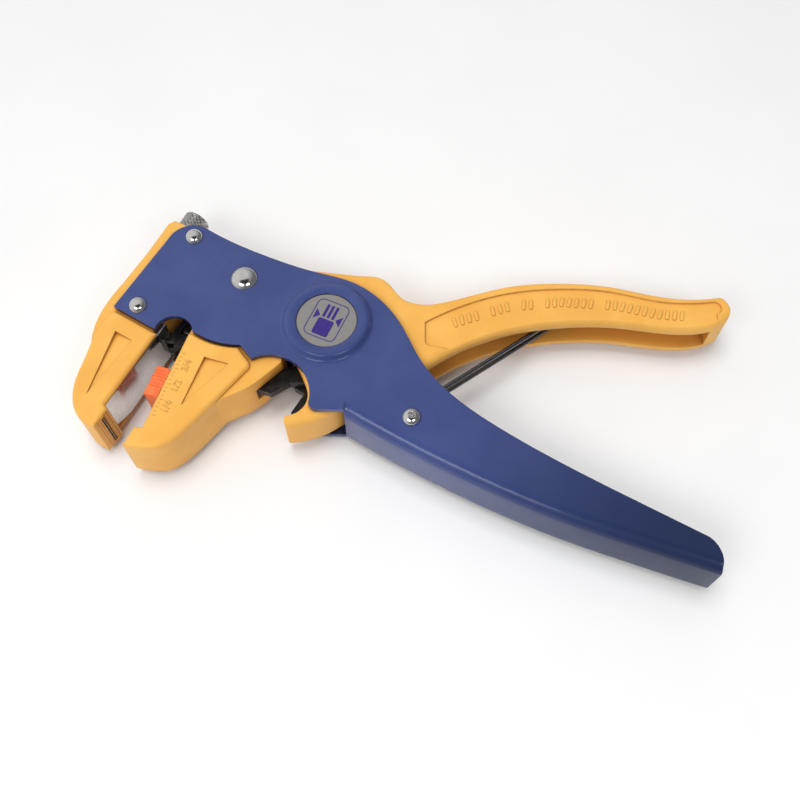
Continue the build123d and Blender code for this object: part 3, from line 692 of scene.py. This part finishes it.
def length_stop():
    """A ridged block on the moving jaw, with two feet that run in its groove."""
    bm = bmesh.new()
    centre, reach = (STOP_TOP + STOP_BOTTOM) / 2, (STOP_TOP - STOP_BOTTOM) / 2
    layers = [(STOP_INNER, 0.0), (STOP_OUTER - STOP_RIM, 0.0), (STOP_OUTER - 0.13, 0.13),
              (STOP_OUTER, STOP_RIM)]
    rings = []
    for out, shrink in layers:
        ring = []
        for along, z in stop_outline():
            spot = on_moving(centre + (along - centre) * (1 - shrink / reach), out)
            ring.append(bm.verts.new(at(spot.x, spot.y, z * (1 - shrink / STOP_HALF))))
        rings.append(ring)
    skin(bm, rings)
    ends = (STOP_TOP - 1, STOP_BOTTOM + 1)
    feet = [on_moving(ends[0], FOOT_DEEP), on_moving(ends[0], STOP_INNER),
            on_moving(ends[1], STOP_INNER), on_moving(ends[1], FOOT_DEEP)]
    for side, _ in BOTH_SIDES:
        low, high = sorted(side * z for z in FOOT_Z)
        prism(bm, [(p.x, p.y) for p in feet], low, high)
    made = piece("ridged_stop", mesh_of("ridged_stop", bm), ORANGE, "stop")
    smooth_by_angle(made, 40)
    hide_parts("length_stop")


# ---- knurled adjuster ----------------------------------------------------------------
KNOB_ANGLE = 64.0
KNOB_BASE = Vector((-43.1, 35.6, 0))
KNOB_R = 4.0
KNOB_HIGH = 5.5
KNOB_RIM = 0.35
TEETH = 20
TEETH_PITCH = 1.25
TEETH_DEEP = 0.42
KNOB_AROUND = TEETH * 6
KNOB_ALONG = 30
THREAD_R = 2.0
THREAD_ROOT_R = 1.72
THREAD_START = -20.8
THREAD_LONG = 20.7
THREADS = 60


def tooth(t):
    """1 on whole numbers, falling evenly to 0 halfway between them."""
    return abs(2 * (t - math.floor(t)) - 1)


def knob_ring(bm, distance, size, knurled=False):
    """One ring of vertices round the screw's axis, crossed by the knurl's two slants."""
    axis, across, up = heading(KNOB_ANGLE), heading(KNOB_ANGLE + 90), Vector((0, 0, 1))
    ring = []
    for k in range(KNOB_AROUND):
        theta = 2 * math.pi * k / KNOB_AROUND
        r = size
        if knurled:
            turn, rise = TEETH * k / KNOB_AROUND, distance / TEETH_PITCH
            r -= TEETH_DEEP * (1 - min(tooth(turn + rise), tooth(turn - rise)) ** 0.8)
        spot = KNOB_BASE + axis * distance + (across * math.cos(theta) + up * math.sin(theta)) * r
        ring.append(bm.verts.new(at(spot.x, spot.y, spot.z)))
    return ring


def adjuster():
    """The knurled knob with its threaded screw."""
    bm = bmesh.new()
    screw = [(-21.0, 1.7)]
    for i in range(THREADS * 2 + 1):
        distance = THREAD_START + THREAD_LONG * i / (THREADS * 2)
        screw.append((distance, THREAD_R if i % 2 else THREAD_ROOT_R))
    screw += [(0.0, THREAD_R), (0.0, 3.6), (KNOB_RIM, 3.95)]
    top = [(KNOB_HIGH - 0.1, 3.75), (KNOB_HIGH, 3.55), (KNOB_HIGH, 2.4), (KNOB_HIGH - 0.5, 2.1)]
    rings = [knob_ring(bm, distance, r) for distance, r in screw]
    for i in range(KNOB_ALONG + 1):
        distance = KNOB_RIM + (KNOB_HIGH - 2 * KNOB_RIM) * i / KNOB_ALONG
        rings.append(knob_ring(bm, distance, KNOB_R, knurled=True))
    rings += [knob_ring(bm, distance, r) for distance, r in top]
    skin(bm, rings)
    made = piece("knurled_knob", mesh_of("knurled_knob", bm), KNOB, "adjuster")
    smooth_by_angle(made, 30)
    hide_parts("adjuster_screw")


# ---- raised marks --------------------------------------------------------------------
def bevelled(bm, width):
    """Rounds the upper rim of raised marks."""
    edges = [e for e in bm.edges if e.calc_face_angle(0.0) > math.radians(50)]
    bmesh.ops.bevel(bm, geom=edges, offset=width * MM, segments=2, affect="EDGES",
                    clamp_overlap=True)


# upper edge of the sunk panel in the grip, and the height of its floor
PANEL_TOP = [(26.8, 1.0), (35.0, 5.3), (50.0, 10.3), (65.0, 11.8), (80.0, 10.6), (92.0, 7.7),
             (101.0, 7.1), (107.2, 7.6)]
PANEL_FLOOR = 6.45
RIB_GROUPS = (4, 3, 2, 7, 11)
RIBS_START = 35.0
RIB_PITCH = 2.02
RIB_GROUP_GAP = 2.6
RIB_DROP = 4.1
RIB_LONG = 3.1
RIB_WIDE = 0.95
RIB_HIGH = 0.28


def panel_line(x):
    """Height of the grip panel's upper edge, and its slope in degrees."""
    for (x0, y0), (x1, y1) in zip(PANEL_TOP, PANEL_TOP[1:]):
        if x <= x1:
            break
    t = (x - x0) / (x1 - x0)
    return y0 + (y1 - y0) * t, math.degrees(math.atan2(y1 - y0, x1 - x0))


def grip_ribs():
    """Groups of short raised ribs along the grip panel, on both sides of the handle."""
    for side, label in BOTH_SIDES:
        bm = bmesh.new()
        low, high = sorted((side * (PANEL_FLOOR - 0.2), side * (PANEL_FLOOR + RIB_HIGH)))
        x = RIBS_START
        for size in RIB_GROUPS:
            for _ in range(size):
                y, slope = panel_line(x)
                outline = round_bar((x, y - RIB_DROP), slope + 80, RIB_LONG, RIB_WIDE, 0.4, 3)
                prism(bm, outline, low, high)
                x += RIB_PITCH
            x += RIB_GROUP_GAP
        bevelled(bm, 0.12)
        name = f"grip_ribs_{label}"
        made = piece(name, mesh_of(name, bm), YELLOW, "handle")
        smooth_by_angle(made, 40)


# the cheek's height, and the places of ticks and marks along the jaw's inner edge
CHEEK = 8.5
TICKS = 17
FIRST_TICK = -5.4
TICK_PITCH = 1.2
LONG_TICK_EVERY = 4
LONG_TICK = 1.0
SHORT_TICK = 0.6
TICK_IN = 0.95
SHORT_TICK_IN = 0.4
LONG_TICK_IN = 0.65
MARKS = (("3/4", -8.6), ("1/2", -15.0), ("1/4", -21.4))
MARK_IN = 3.8
MARK_SIZE = 2.9
MARK_HIGH = 0.10
MARK_ROUND = 0.03


def raised_mark(name, text, spot, angle, z):
    """Figures standing out of the moving jaw's cheek."""
    curve = bpy.data.curves.new(name, "FONT")
    curve.body = text
    curve.size = MARK_SIZE * MM
    curve.align_x = "CENTER"
    curve.align_y = "CENTER"
    curve.extrude = MARK_HIGH * MM
    curve.bevel_depth = MARK_ROUND * MM
    curve.bevel_resolution = 1
    made = bpy.data.objects.new(name, curve)
    bpy.context.scene.collection.objects.link(made)
    made.rotation_euler = (math.pi if z < 0 else 0.0, 0, math.radians(angle))
    made.location = at(spot.x, spot.y, z)
    bpy.context.view_layer.update()
    mesh = bpy.data.meshes.new_from_object(made)
    mesh.transform(made.matrix_world)
    bpy.data.objects.remove(made)
    return piece(name, mesh, YELLOW, "jaw")


def jaw_scale():
    """Stripping-length marks beside the moving jaw's inner edge, on both cheeks."""
    for side, label in BOTH_SIDES:
        bm = bmesh.new()
        low, high = sorted((side * (CHEEK - 0.1), side * (CHEEK + 0.08)))
        for i in range(TICKS):
            length, shift = SHORT_TICK, SHORT_TICK_IN
            if i % LONG_TICK_EVERY == 0:
                length, shift = LONG_TICK, LONG_TICK_IN
            spot = on_moving(FIRST_TICK - TICK_PITCH * i, -(TICK_IN + shift))
            outline = round_bar((spot.x, spot.y), MOVING_DIR + 90, length, 0.24, 0.1, 2)
            prism(bm, outline, low, high)
        name = f"scale_ticks_{label}"
        ticks = piece(name, mesh_of(name, bm), YELLOW, "jaw")
        smooth_by_angle(ticks, 40)
        reading = MOVING_DIR - 180 if side > 0 else MOVING_DIR
        for number, (text, along) in enumerate(MARKS):
            spot = on_moving(along, -MARK_IN)
            raised_mark(f"scale_mark_{number}_{label}", text, spot, reading, side * CHEEK)


# ---- badge print ---------------------------------------------------------------------
PRINT_THICK = 0.05
PRINT_ANGLE = 66.0
# length, width and corner of the print's frame
PRINT_FRAME = (12.0, 9.4, 1.8)
FRAME_LINE = 0.24


def badge_print():
    """A framed pictogram of a stripped wire between two blades, on each badge."""
    for side, label in ((1, "front"), (-1, "back")):
        low_box, high_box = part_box(f"badge_{label}")
        top = (high_box.z if side > 0 else low_box.z) - PIVOT.z
        low, high = sorted((top / MM, top / MM + side * PRINT_THICK))
        ahead, left = heading(PRINT_ANGLE), heading(PRINT_ANGLE + 90)
        bm = bmesh.new()
        length, width, corner = PRINT_FRAME
        outer = round_bar((0, 0), PRINT_ANGLE, length, width, corner, 8)
        inner = round_bar((0, 0), PRINT_ANGLE, length - 2 * FRAME_LINE, width - 2 * FRAME_LINE,
                          corner - FRAME_LINE, 8)
        rings = []
        for line in (outer, inner):
            for z in (low, high):
                rings.append([bm.verts.new(at(x, y, z)) for x, y in line])
        count = len(outer)
        for i in range(count):
            j = (i + 1) % count
            for a, b in ((0, 1), (1, 3), (3, 2), (2, 0)):
                bm.faces.new((rings[a][i], rings[a][j], rings[b][j], rings[b][i]))
        # the wire: insulation below, three bare strands above
        body = -ahead * 2.5
        prism(bm, round_bar((body.x, body.y), PRINT_ANGLE, 5.2, 4.6, 0.6), low, high)
        for strand in (-1, 0, 1):
            spot = ahead * 2.7 + left * strand * 1.35
            prism(bm, round_bar((spot.x, spot.y), PRINT_ANGLE, 4.2, 0.8, 0.3, 3), low, high)
        # the two blades beside the cut
        for way in (1, -1):
            corners = (ahead * 0.75 + left * way * 2.3, ahead * 2.4 + left * way * 3.9,
                       -ahead * 0.9 + left * way * 3.9)
            prism(bm, [(c.x, c.y) for c in corners], low, high)
        name = f"badge_print_{label}"
        piece(name, mesh_of(name, bm), INK, "frame")


# ---- putting it together -------------------------------------------------------------
set_camera()
set_light()
lay_floor()
for soft_node in ("frame_shell", "fixed_jaw", "moving_jaw", "squeeze_handle"):
    soften(soft_node)
spring()
length_stop()
adjuster()
grip_ribs()
jaw_scale()
badge_print()
